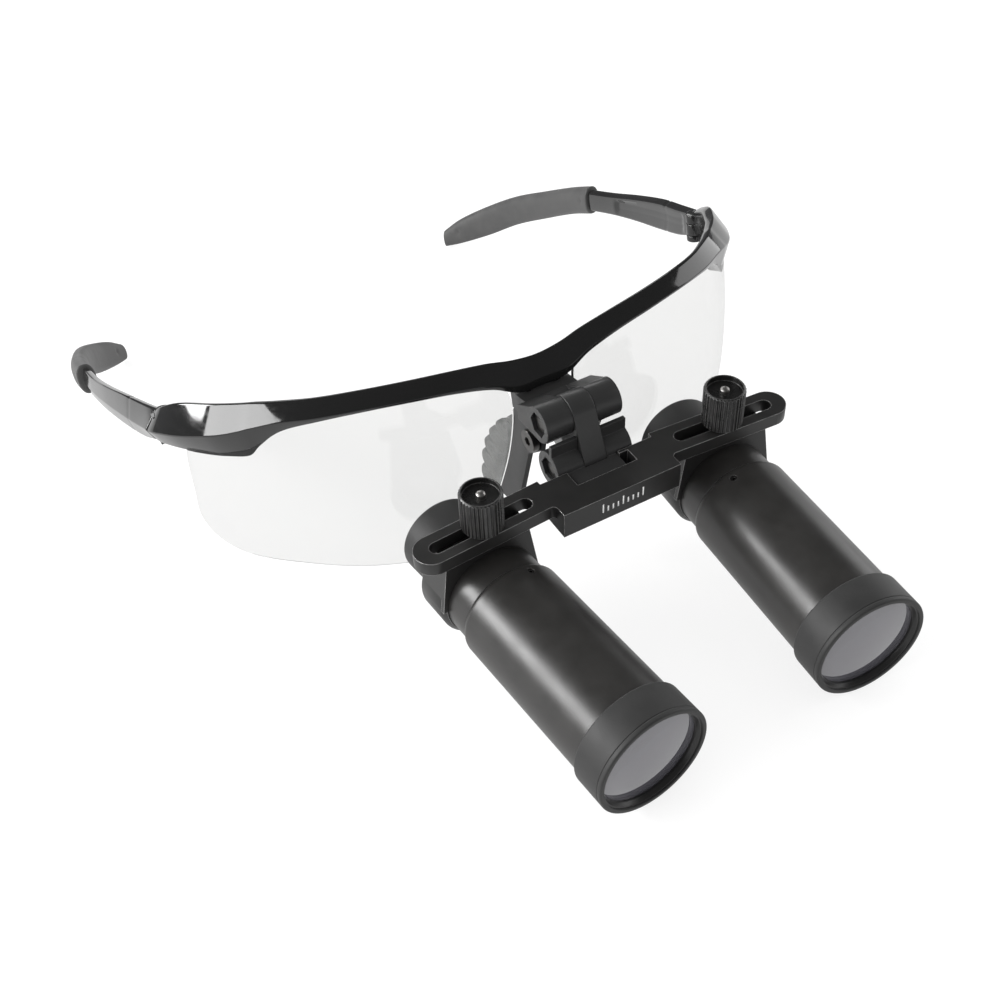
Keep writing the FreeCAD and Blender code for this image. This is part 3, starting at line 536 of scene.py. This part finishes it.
KNUCKLE_LOW, KNUCKLE_HIGH = -7.8, -0.2          # outer ends of the frame's two knuckles
KNUCKLE_GAP = 0.1
FRAME_REACH, TEMPLE_REACH = -2.0, 3.0           # how far each knuckle's web reaches from the pin
WEB_INNER, WEB_OUTER = 0.2, LUG_R + 0.6         # sides of the web, outwards from the pin
WEB_TRIM = 0.1
RING_SPACING = {"frame": 1.1, "temple": 0.9, "sock": 0.7}
END_ROUND = 0.35


def moulded_section(row):
    """Wedge section of the frame or a temple: a low ridge outside, a face that leans back from it to
    the upper edge, and a face that falls back below it."""
    low, high, thick, share, under, crest = row[2:8]
    height = high - low
    return rounded([(-0.50 * thick, low + share * height, 0.30), (crest * thick, high, 0.55),
                    (0.42 * thick, high - 0.10 * height, 0.9), (0.50 * thick, low + 0.5 * height, 1.2),
                    (0.40 * thick, low + 0.05 * height, 0.7), (-0.50 * thick + under, low, 0.40)], 5)


def temple_section(row):
    """Section of a temple, with the channel sunk into its inner face."""
    outline = moulded_section(row)
    low, high, thick = row[2:5]
    start, end = RECESS
    fade = 1.0
    for inside in (row[1] - start, end - row[1]):
        fade *= min(1.0, max(0.0, inside / RECESS_FADE))
    middle, half = (low + high) / 2 - 0.2, 0.30 * (high - low)
    for point in outline:
        if point.x > 0.2 * thick and abs(point.y - middle) < half:
            point.x -= RECESS_DEPTH * fade
    return outline


def sock_section(row):
    """Flat oval of the rubber sock."""
    low, high, thick = row[2:5]
    outline = []
    for index in range(SOCK_POINTS):
        angle = 2 * math.pi * (index + 0.5) / SOCK_POINTS
        across = math.copysign(abs(math.cos(angle)) ** SOCK_SQUARENESS, math.cos(angle))
        upward = math.copysign(abs(math.sin(angle)) ** SOCK_SQUARENESS, math.sin(angle))
        outline.append(Vector((-thick / 2 * across, (low + high) / 2 - (high - low) / 2 * upward)))
    return outline


def ring_behind(rings, distance):
    """The ring nearest to a distance behind the hinge pin."""
    return min(rings, key=lambda ring: abs(ring_middle(ring).y - PIN.y - distance))


def block(low_corner, high_corner):
    """Box between two corners as points and faces."""
    (x0, y0, z0), (x1, y1, z1) = low_corner, high_corner
    corners = [Vector((x, y, z)) for z in (z0, z1) for x, y in ((x0, y0), (x1, y0), (x1, y1), (x0, y1))]
    return corners, BOX_FACES


def lug(low, high, reach, sign):
    """Hinge knuckle round the temple's pin, with the web that joins it to its neighbour."""
    outline = rounded([(0, low, 0.01), (LUG_R, low, 0.3), (LUG_R, high, 0.3), (0, high, 0.01)], 3)
    ring = [Vector((0, low))] + [p for p in outline if p.x > 0.02] + [Vector((0, high))]
    barrel = turned_bar([(p.x, p.y) for p in ring], Matrix.Translation(PIN))
    near, far = sorted((0.0, reach))
    bottom = PIN + Vector((WEB_INNER, near, low + WEB_TRIM))
    top = PIN + Vector((WEB_OUTER, far, high - WEB_TRIM))
    web = block(bottom, top)
    return handed(*merged(barrel, web), sign)


def build_front_frame():
    whole = [(-row[0],) + row[1:] for row in reversed(FRONT[1:])] + FRONT
    rings = with_ends(rings_along(whole, RING_SPACING["frame"], moulded_section), END_ROUND, END_ROUND)
    parts = [lofted(rings)]
    for _, sign in SIDES:
        parts.append(lug(KNUCKLE_LOW, LUG_LOW - KNUCKLE_GAP, FRAME_REACH, sign))
        parts.append(lug(LUG_HIGH + KNUCKLE_GAP, KNUCKLE_HIGH, FRAME_REACH, sign))
    piece = new_piece("front_frame_moulding", *merged(*parts))
    finish_piece(piece, "spectacles", "frame_black", MATERIALS["frame_black"], "front_frame")


def build_temple(side, sign):
    rings = with_ends(rings_along(TEMPLE, RING_SPACING["temple"], temple_section), END_ROUND, 0.3)
    line = ring_behind(rings, PARTING_LINE)
    line[:] = scaled_ring(line, 1 - PARTING_SINK, Vector())
    arm = handed(*lofted(rings), sign)
    knuckle = lug(LUG_LOW, LUG_HIGH, TEMPLE_REACH, sign)
    piece = new_piece("temple_moulding_" + side, *merged(arm, knuckle))
    finish_piece(piece, side + "_temple", "frame_black", MATERIALS["frame_black"], "temple_" + side)


def build_sock(side, sign):
    rings = dimpled(with_ends(rings_along(SOCK, RING_SPACING["sock"], sock_section), 0.5, 1.7))
    piece = new_piece("ear_sock_rubber_" + side, *handed(*lofted(rings), sign))
    finish_piece(piece, side + "_temple", "sock_rubber", MATERIALS["sock_rubber"], "ear_sock_" + side)


DIMPLES = ((69.0, 0.55), (133.0, 0.5))     # places along the sock behind the pin, share of its height
DIMPLE_R = 0.9
DIMPLE_DEPTH = 0.6


def dimpled(rings):
    """Presses small round dimples into both faces of the sock."""
    for behind, share in DIMPLES:
        ring = ring_behind(rings, behind)
        middle = ring_middle(ring)
        low = min(p.z for p in ring)
        high = max(p.z for p in ring)
        centre = Vector((middle.x, middle.y, low + share * (high - low)))
        for point in (point for row in rings for point in row):
            away = Vector((0, point.y - centre.y, point.z - centre.z)).length
            if away < DIMPLE_R:
                press = DIMPLE_DEPTH * (1 - (away / DIMPLE_R) ** 2)
                point.x += math.copysign(press, centre.x - point.x)
    return rings


# ---------------------------------------------------------------- spectacle lenses

LENS_OUTLINE = [(8.0, -4.0), (11.5, 2.0), (22.0, 5.0), (40.0, 6.6), (56.0, 5.6), (68.0, 2.5), (73.0, -4.0),
                (74.2, -17.0), (74.0, -27.0), (69.0, -33.6), (57.0, -35.6), (42.0, -38.8), (28.0, -41.0),
                (19.0, -38.0), (14.0, -27.0), (9.8, -15.0)]
LENS_CENTRE = (42.0, -16.0)
LENS_THICK = 1.6
LENS_SOFT = 0.25            # how far the rim is rounded on each side
LENS_RINGS = 26


def lens_depth(x, z):
    """Depth of the lens's middle surface behind the pin: wrapped round the face, bowed upright."""
    across = (x / 70.0) ** 2
    return -45.6 + 6.0 * across + 22.0 * across ** 2 + 0.005 * (z + 9.0) ** 2


def closed_curve(corners, steps):
    """Smooth closed curve through plane points."""
    result = []
    count = len(corners)
    for i in range(count):
        p0, p1, p2, p3 = (Vector(corners[(i + k) % count]) for k in (-1, 0, 1, 2))
        for step in range(steps):
            t = step / steps
            result.append(0.5 * (2 * p1 + (p2 - p0) * t + (2 * p0 - 5 * p1 + 4 * p2 - p3) * t ** 2
                                 + (3 * p1 - p0 - 3 * p2 + p3) * t ** 3))
    return result


def build_lens(side, sign):
    """Curved sheet: rings out over the front face, round the soft rim and back in over the rear."""
    rim = closed_curve(LENS_OUTLINE, 10)
    centre = Vector(LENS_CENTRE)
    half = LENS_THICK / 2
    shares = [i / LENS_RINGS for i in range(1, LENS_RINGS + 1)]
    points = []
    for face, order in ((-1, 1), (1, -1)):
        for share in shares[::order]:
            depth = half if share < 1 else half - LENS_SOFT
            for corner in rim:
                x, z = centre + (corner - centre) * share
                points.append(Vector((x, lens_depth(x, z) + face * depth, z)))
    ring_count = 2 * LENS_RINGS
    faces = bands(ring_count, len(rim))
    for ring, face, order in ((0, -1, 1), (ring_count - 1, 1, -1)):
        faces += fan(len(points), ring, len(rim), order)
        points.append(Vector((centre.x, lens_depth(*centre) + face * half, centre.y)))
    points = [point + PIN_OFFSET for point in points]
    piece = new_piece("spectacle_lens_sheet_" + side, *handed(points, faces, sign))
    finish_piece(piece, "spectacles", "clear_lens", MATERIALS["clear_lens"], "spectacle_lens_" + side)


# ---------------------------------------------------------------- nose pads

PAD_TOP = Vector((-42.0, -10.0))    # y and z of the ends of the pad's front edge
PAD_LOW = Vector((-36.4, -36.6))
PAD_REAR = Vector((26.6, 5.6)).normalized()     # square to that edge, towards the wearer
PAD_WIDE = 10.2
PAD_LOBES = 7
PAD_THICK = 3.4
PAD_FOLD = 0.45                     # how much thinner the pad is along the folds at its notches
PAD_ALONG, PAD_ACROSS = 140, 14     # faces along and across the pad
PAD_ROOT = Vector((5.7, -11.1))     # x and z the pads splay about
PAD_SPLAY = math.radians(14.0)


def pad_point(face, along, across):
    """Point on one face of the pad, from shares along its front edge and from there to the rear."""
    belly = math.sin(math.pi * (0.06 + 0.78 * along)) ** 1.1
    lobe = abs(math.sin(math.pi * PAD_LOBES * along)) ** 0.6
    width = PAD_WIDE * belly * (0.84 + 0.16 * lobe)
    place = PAD_TOP + (PAD_LOW - PAD_TOP) * along + PAD_REAR * (width * across)
    rim = math.sqrt(max(0.0, 1 - (2 * across - 1) ** 4)) * math.sqrt(max(0.0, 1 - (2 * along - 1) ** 10))
    bulge = face * PAD_THICK / 2 * rim * (1 - PAD_FOLD * (1 - lobe) * across)
    drop = place.y - PAD_ROOT.y
    x = PAD_ROOT.x + bulge * math.cos(PAD_SPLAY) - drop * math.sin(PAD_SPLAY)
    z = PAD_ROOT.y + bulge * math.sin(PAD_SPLAY) + drop * math.cos(PAD_SPLAY)
    return Vector((x, place.x, z)) + PIN_OFFSET


def build_nose_pad(side, sign):
    """Soft pad with a scalloped rear edge and a shallow fold running in from each notch. Its two
    faces are grids that share their rim."""
    points, faces, index = [], [], {}

    def numbered(face, i, k):
        on_rim = i in (0, PAD_ALONG) or k in (0, PAD_ACROSS)
        key = (0 if on_rim else face, i, k)
        if key not in index:
            index[key] = len(points)
            points.append(pad_point(face, i / PAD_ALONG, k / PAD_ACROSS))
        return index[key]

    for face in (-1, 1):
        for i in range(PAD_ALONG):
            for k in range(PAD_ACROSS):
                quad = [numbered(face, *cell) for cell in ((i, k), (i, k + 1), (i + 1, k + 1), (i + 1, k))]
                faces.append(tuple(quad[::face]))
    piece = new_piece("nose_pad_silicone_" + side, *handed(points, faces, sign), 60)
    finish_piece(piece, "spectacles", "pad_rubber", MATERIALS["pad_rubber"], "nose_pad_" + side)


# ---------------------------------------------------------------- ends of the telescopes

# Stations are millimetres along a telescope from its origin, positive towards the objective
RIM_STATION = 53.28         # of the objective rim mount
CAP_R, CAP_BACK, CAP_FRONT = 12.76, 49.0, 57.26
CAP_GROOVE, GROOVE_HALF = CAP_FRONT - 1.12, 0.14
CAP_LIP = 1.05              # width of the cap's front lip
LIP_DEPTH = 0.35
TUBE_GRIP = 11.88
CUP_R, CUP_BACK, CUP_FRONT = 9.4, -18.3, -9.5
CUP_FLARE = 0.15
CUP_BORE, CUP_STOP = 7.8, -12.6     # bore behind the eyepiece, and where it widens to take it
EYEPIECE_R = 9.04


def barrel_axis(side):
    """Placement with Z along a telescope and station 0 at its origin."""
    mount = record_entry("mounts", "objective_rim_" + side)
    ahead = Vector(mount["axis"]).normalized()
    start = Vector(mount["pos_m"]) / MM - ahead * RIM_STATION
    return Matrix.Translation(start) @ ahead.to_track_quat("Z", "Y").to_matrix().to_4x4()


def ring_profile(corners, steps=5):
    """Closed outline of (radius, station) with soft corners, for turned()."""
    return [(p.x, p.y) for p in rounded(corners, steps)]


def build_cap(side):
    """Rubber cap: rounded shoulder, a rolled front lip with a fine groove behind it."""
    lip_back = CAP_FRONT - LIP_DEPTH
    profile = ring_profile([
        (TUBE_GRIP, CAP_BACK, 0.15), (CAP_R, CAP_BACK, 0.75), (CAP_R, CAP_GROOVE - 0.13, 0.10),
        (CAP_R - GROOVE_HALF, CAP_GROOVE, 0.08), (CAP_R, CAP_GROOVE + GROOVE_HALF, 0.10),
        (CAP_R, CAP_FRONT, 0.55), (CAP_R - CAP_LIP, CAP_FRONT, 0.40),
        (CAP_R - CAP_LIP - 0.10, lip_back, 0.05), (TUBE_GRIP, lip_back, 0.05)])
    piece = new_piece("objective_cap_rubber_" + side, *turned(profile, barrel_axis(side)), 50)
    finish_piece(piece, side + "_barrel", "cap_rubber", MATERIALS["cap_rubber"], "objective_cap_" + side)


GLASS_R = 10.95             # clear radius of the objective
GLASS_BACK, GLASS_EDGE, GLASS_CROWN = 53.2, 55.45, 56.45
GLASS_STEPS = 12
RING_FRONT = 56.85
RING_R = TUBE_GRIP - 0.04


def build_objective(side):
    """Domed objective and the black ring that holds it, sloping in to the glass."""
    dome = []
    for step in range(GLASS_STEPS + 1):
        share = step / GLASS_STEPS
        dome.append((GLASS_R * share, GLASS_CROWN - (GLASS_CROWN - GLASS_EDGE) * share ** 2))
    outline = dome + [(GLASS_R, GLASS_BACK), (0, GLASS_BACK)]
    glass = new_piece("objective_glass_" + side, *turned_bar(outline[::-1], barrel_axis(side), 96), 30)
    finish_piece(glass, side + "_barrel", "coated_glass", MATERIALS["coated_glass"],
                 "objective_lens_" + side)
    aperture = GLASS_R + 0.02
    profile = ring_profile([(aperture, GLASS_EDGE - 0.2, 0.05), (RING_R, GLASS_EDGE + 0.2, 0.05),
                            (RING_R, RING_FRONT, 0.10), (RING_R - 0.35, RING_FRONT, 0.12),
                            (aperture, GLASS_EDGE + 0.5, 0.10)])
    ring = new_piece("objective_ring_" + side, *turned(profile, barrel_axis(side)), 50)
    finish_piece(ring, side + "_barrel", "ring_black", MATERIALS["ring_black"], "retaining_ring_" + side)


def build_eyecup(side):
    """Rubber eyecup: a smooth sleeve that flares a little to its rolled rear rim."""
    rim = CUP_R + CUP_FLARE
    corners = [(CUP_BORE, CUP_BACK, 0.5), (rim, CUP_BACK, 0.9), (rim, CUP_BACK + 1.5, 0.9),
               (CUP_R - CUP_FLARE, CUP_FRONT, 0.3), (EYEPIECE_R, CUP_FRONT, 0.05),
               (EYEPIECE_R, CUP_STOP, 0.05), (CUP_BORE, CUP_STOP, 0.05)]
    piece = new_piece("eyecup_rubber_" + side, *turned(ring_profile(corners, 6), barrel_axis(side)), 50)
    finish_piece(piece, side + "_barrel", "cup_rubber", MATERIALS["cup_rubber"], "eyecup_" + side)


# ---------------------------------------------------------------- printed scale

SCALE_HALF = 5.0            # half the length of the row of ticks on the bar's front face
SCALE_TICKS = 9
SCALE_AHEAD, SCALE_DROP = 6.67, 3.0     # from the knobs' line to the face, and down it
TICK_HALF = 0.17            # half a tick's width
TICK_FOOT = -1.2
TICK_LONG, TICK_SHORT = 2.40, 1.44
TICK_SUNK, TICK_PROUD = -0.02, 0.015


def build_scale():
    """Plain white tick marks on the sloping front face of the bar's centre block."""
    knob = Vector(record_entry("joints", "left_knob_turn")["pos_m"]) / MM
    up = Vector(record_entry("joints", "left_knob_turn")["axis"]).normalized()
    ahead = up.cross(Vector((1, 0, 0))).normalized()
    if ahead.y > 0:
        ahead = -ahead
    origin = Vector((0, knob.y, knob.z)) + ahead * SCALE_AHEAD - up * SCALE_DROP
    ticks = []
    for index in range(SCALE_TICKS):
        x = -SCALE_HALF + 2 * SCALE_HALF * index / (SCALE_TICKS - 1)
        top = TICK_FOOT + (TICK_LONG if index % 4 == 0 else TICK_SHORT)
        corners = []
        for depth in (TICK_SUNK, TICK_PROUD):
            for side, height in ((-1, TICK_FOOT), (1, TICK_FOOT), (1, top), (-1, top)):
                across = Vector((x + side * TICK_HALF, 0, 0))
                corners.append(origin + across + up * height + ahead * depth)
        ticks.append((corners, BOX_FACES))
    piece = new_piece("printed_ticks", *merged(*ticks))
    finish_piece(piece, "crossbar", "bar_black", printed("white_print"))


# ---------------------------------------------------------------- carried CAD pieces

# Corners nearer than the weld gap (mm) are merged and faces within the flat angle (degrees) count as
# one; edges sharper than the sharp angle are then rounded by the widths in BEVELS (mm)
WELD_GAP, FLAT_ANGLE, SHARP_ANGLE = 0.002, 0.6, 40
BEVELS = {"crossbar": 0.22, "bar_bracket": 0.18, "flip_link": 0.18, "flip_bracket": 0.20,
          "barrel_holder_left": 0.30, "barrel_holder_right": 0.30, "nose_pad_carrier": 0.15}


def dress_cad():
    """Gives every CAD node its finish, and real rounded edges to the blocky ones."""
    slots = {entry["node"]: entry["material_slot"] for entry in frame["record"]["subparts"]}
    for node, piece in frame["nodes"].items():
        piece.data.materials.clear()
        piece.data.materials.append(MATERIALS[slots[node]])
        if node in BEVELS:
            weld = piece.modifiers.new("weld", "WELD")
            weld.merge_threshold = WELD_GAP * MM
            flat = piece.modifiers.new("flat faces", "DECIMATE")
            flat.decimate_type = "DISSOLVE"
            flat.angle_limit = math.radians(FLAT_ANGLE)
            edge = piece.modifiers.new("rounded edges", "BEVEL")
            edge.width = BEVELS[node] * MM
            edge.segments = 3
            edge.limit_method = "ANGLE"
            edge.angle_limit = math.radians(SHARP_ANGLE)
            edge.harden_normals = True


# ---------------------------------------------------------------- stage, light and camera

TABLE_HALF = 4.0            # metres
TABLE_GAP = 0.0002          # metres between the table and the lowest point
TABLE_TONE = 0.22           # share of the light the table throws back
TABLE_GLOW = 0.78           # light it gives off itself, so that shadows on it stay faint
TABLE_DIMMED = 0.55         # share of that light seen in shiny things


def build_floor():
    mesh = bpy.data.meshes.new("table")
    low = CAD_BOX[0].z - TABLE_GAP
    corners = [(x, y, low) for x, y in ((-1, -1), (1, -1), (1, 1), (-1, 1))]
    mesh.from_pydata([(x * TABLE_HALF, y * TABLE_HALF, z) for x, y, z in corners], [], [(0, 1, 2, 3)])
    floor = bpy.data.objects.new("table", mesh)
    bpy.context.scene.collection.objects.link(floor)
    s = Shader("table_white")
    rays = s.node("ShaderNodeLightPath")
    mirrored_ray = s.math("SUBTRACT", rays.outputs["Is Glossy Ray"], rays.outputs["Is Transmission Ray"])
    glow = s.between(mirrored_ray, 0.0, 1.0, TABLE_GLOW, TABLE_GLOW * TABLE_DIMMED)
    s.surface(Base_Color=s.blend(s.noise(8, 3.0), grey(TABLE_TONE), grey(TABLE_TONE + 0.02)), Roughness=0.7,
              Specular_IOR_Level=0.1, Emission_Color=grey(1.0), Emission_Strength=glow,
              Normal=s.bump(s.noise(900, 2.0), 0.05, 0.05))
    mesh.materials.append(s.material)


WORLD_FILL = 1.0
# What shiny things see of the surroundings: height above the horizon and colour
SEEN_SKY = ((0.05, (0.14, 0.14, 0.145, 1)), (0.55, (0.06, 0.06, 0.06, 1)))


def area_light(name, place, target, width, height, power):
    light = bpy.data.lights.new(name, "AREA")
    light.shape = "RECTANGLE"
    light.size, light.size_y = width, height
    light.energy = power
    lamp = bpy.data.objects.new(name, light)
    lamp.location = place
    lamp.rotation_mode = "QUATERNION"
    lamp.rotation_quaternion = (Vector(target) - Vector(place)).to_track_quat("-Z", "Y")
    bpy.context.scene.collection.objects.link(lamp)


def build_world():
    """White surroundings that light the table; shiny things see a dark ceiling instead."""
    world = bpy.data.worlds.new("studio")
    bpy.context.scene.world = world
    world.use_nodes = True
    tree = world.node_tree
    tree.nodes.clear()
    make = tree.nodes.new
    place = make("ShaderNodeTexCoord")
    split = make("ShaderNodeSeparateXYZ")
    ramp = make("ShaderNodeValToRGB")
    rays = make("ShaderNodeLightPath")
    mix = make("ShaderNodeMixShader")
    out = make("ShaderNodeOutputWorld")
    fill = make("ShaderNodeBackground")
    seen = make("ShaderNodeBackground")
    tree.links.new(place.outputs["Generated"], split.inputs[0])
    tree.links.new(split.outputs["Z"], ramp.inputs[0])
    tree.links.new(ramp.outputs[0], seen.inputs["Color"])
    tree.links.new(rays.outputs["Is Glossy Ray"], mix.inputs[0])
    tree.links.new(fill.outputs[0], mix.inputs[1])
    tree.links.new(seen.outputs[0], mix.inputs[2])
    tree.links.new(mix.outputs[0], out.inputs["Surface"])
    stops = ramp.color_ramp.elements
    for stop, (position, color) in zip(stops, SEEN_SKY):
        stop.position, stop.color = position, color
    fill.inputs["Color"].default_value = (1.0, 1.0, 1.0, 1.0)
    fill.inputs["Strength"].default_value = WORLD_FILL


LIGHTS = (
    # name, direction from the middle of the object, distance, width, height, watts
    ("left_softbox", (-0.78, 0.42, 0.42), 0.85, 0.30, 0.26, 4.6),
    ("window_softbox", (-0.89, -0.03, 0.45), 0.85, 0.44, 0.38, 5.0),
    ("right_softbox", (0.96, -0.05, 0.26), 0.85, 0.75, 0.44, 2.3),
    ("back_softbox", (0.10, 0.80, 0.60), 1.00, 0.90, 0.30, 2.5),
)


def build_light():
    middle = (CAD_BOX[0] + CAD_BOX[1]) / 2
    for name, direction, distance, width, height, power in LIGHTS:
        place = middle + Vector(direction).normalized() * distance
        area_light(name, place, middle, width, height, power)
    build_world()


CAMERA_AT = Vector((-110.98, -277.24, 193.99))      # mm from the table point under the middle
CAMERA_RIGHT = Vector((0.8684, -0.4771, -0.1352))   # the picture's axes in the frame
CAMERA_DOWN = Vector((-0.3748, -0.4529, -0.8090))
CAMERA_LENS = 46.67                                 # mm
CAMERA_SENSOR = 36.0                                # mm wide


def build_camera():
    camera = bpy.data.cameras.new("camera")
    camera.sensor_width = CAMERA_SENSOR
    camera.lens = CAMERA_LENS
    camera.clip_start, camera.clip_end = 0.01, 20
    holder = bpy.data.objects.new("camera", camera)
    right = CAMERA_RIGHT.normalized()
    up = -(CAMERA_DOWN - right * CAMERA_DOWN.dot(right)).normalized()
    back = right.cross(up)
    turn = Matrix((right, up, back)).transposed().to_4x4()
    holder.matrix_world = Matrix.Translation(CAMERA_AT * MM) @ turn
    bpy.context.scene.collection.objects.link(holder)
    bpy.context.scene.camera = holder


# ---------------------------------------------------------------- assembly

dress_cad()
build_front_frame()
for side, sign in SIDES:
    build_temple(side, sign)
    build_sock(side, sign)
    build_lens(side, sign)
    build_nose_pad(side, sign)
    build_cap(side)
    build_objective(side)
    build_eyecup(side)
build_scale()
build_floor()
build_light()
build_camera()
bpy.context.scene.view_settings.view_transform = "Standard"

bpy.context.view_layer.update()
